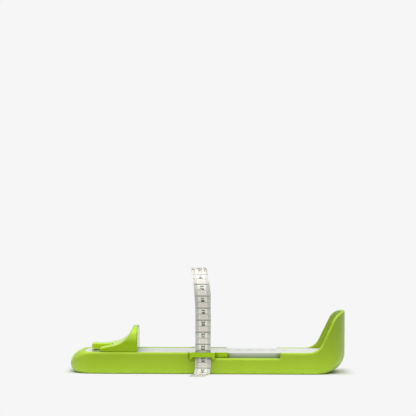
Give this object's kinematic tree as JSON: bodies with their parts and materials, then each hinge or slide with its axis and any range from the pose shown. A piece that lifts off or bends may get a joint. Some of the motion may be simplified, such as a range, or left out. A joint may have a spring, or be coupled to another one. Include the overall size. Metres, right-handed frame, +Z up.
{
  "type": "foot measuring device",
  "caption": "Tray with a raised heel cup, a printed measuring deck, a sliding toe stop with thumb release and a sliding carriage holding a tape looped over the foot.",
  "frame": {"origin": "centre of the tray's underside, on the surface that the device stands on", "axes": "+X along the tray from the toe end to the heel cup, +Y across it to the side where the tape is riveted, +Z up"},
  "size_m": [0.2312, 0.1312, 0.0872],
  "materials": {
    "green_shell": "satin gloss moulded ABS",
    "deck_white": "smooth printed polystyrene",
    "pin_steel": "bright zinc",
    "brake_rubber": "matt",
    "tape_cloth": "coated woven glass-fibre tape, printed",
    "rivet_brass": "plain"
  },
  "bodies": {
    "base": {"base_tray": "green_shell", "measuring_deck": "deck_white", "deck_screw_1": "pin_steel", "deck_screw_2": "pin_steel", "deck_screw_3": "pin_steel", "deck_screw_4": "pin_steel", "deck_screw_5": "pin_steel", "deck_screw_6": "pin_steel"},
    "slider": {"toe_slider": "green_shell", "lever_pin": "pin_steel", "lever_spring": "pin_steel"},
    "lever": {"release_lever": "green_shell", "brake_pad": "brake_rubber"},
    "carriage": {"tape_carriage": "green_shell", "measuring_tape": "tape_cloth", "tape_rivet": "rivet_brass"}
  },
  "joints": [
    {"name": "toe_slide", "type": "slide", "parent": "base", "child": "slider", "axis": [1, 0, 0], "range_m": [-0.006, 0.0437]},
    {"name": "carriage_slide", "type": "slide", "parent": "base", "child": "carriage", "axis": [1, 0, 0], "range_m": [0, 0.0432]},
    {"name": "thumb_press", "type": "hinge", "parent": "slider", "child": "lever", "pos_m": [-0.07625, 0, 0.0201], "axis": [0, -1, 0], "range_deg": [0, 2.7], "stiffness_Nm_per_rad": 0.5, "springref_deg": -3.44, "deforming": ["lever_spring"]}
  ]
}
